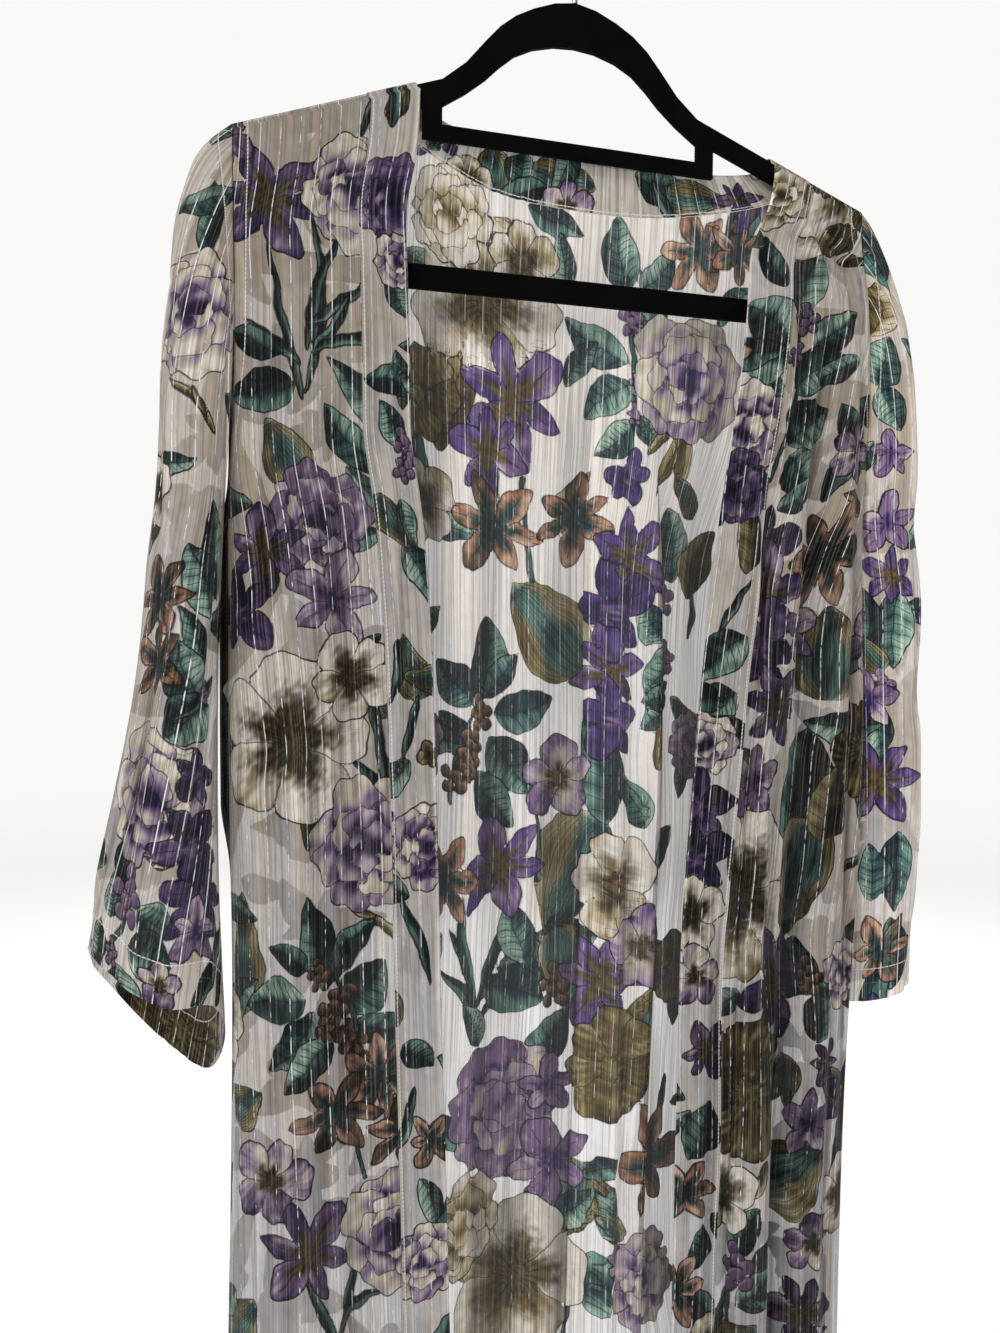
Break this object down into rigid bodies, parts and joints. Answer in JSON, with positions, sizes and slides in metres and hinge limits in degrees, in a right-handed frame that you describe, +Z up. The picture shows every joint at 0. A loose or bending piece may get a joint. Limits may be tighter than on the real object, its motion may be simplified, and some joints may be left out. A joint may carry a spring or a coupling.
{
  "type": "topper jacket on a clothes hanger",
  "caption": "Open-front sheer chiffon topper jacket with mid-length sleeves and a botanical print, hanging on a slim black velvet hanger.",
  "frame": {"origin": "the point inside the hook that rests on a rail", "axes": "+Z up, +X towards the wearer's left, +Y towards the wearer's back; the open front faces -Y"},
  "size_m": [0.5632, 0.0896, 1.0536],
  "materials": {
    "chiffon": "sheer crinkle chiffon with a botanical print and fine silver stripes",
    "band": "doubled chiffon, less see-through",
    "velvet": "black flock",
    "hook": "bright plated wire"
  },
  "bodies": {
    "root": {"back": "chiffon", "front_right": "chiffon", "front_left": "chiffon", "sleeve_right": "chiffon", "sleeve_left": "chiffon", "band_right": "band", "band_left": "band", "band_neck": "band", "hanger_frame": "velvet", "hanger_hook": "hook"}
  },
  "joints": []
}
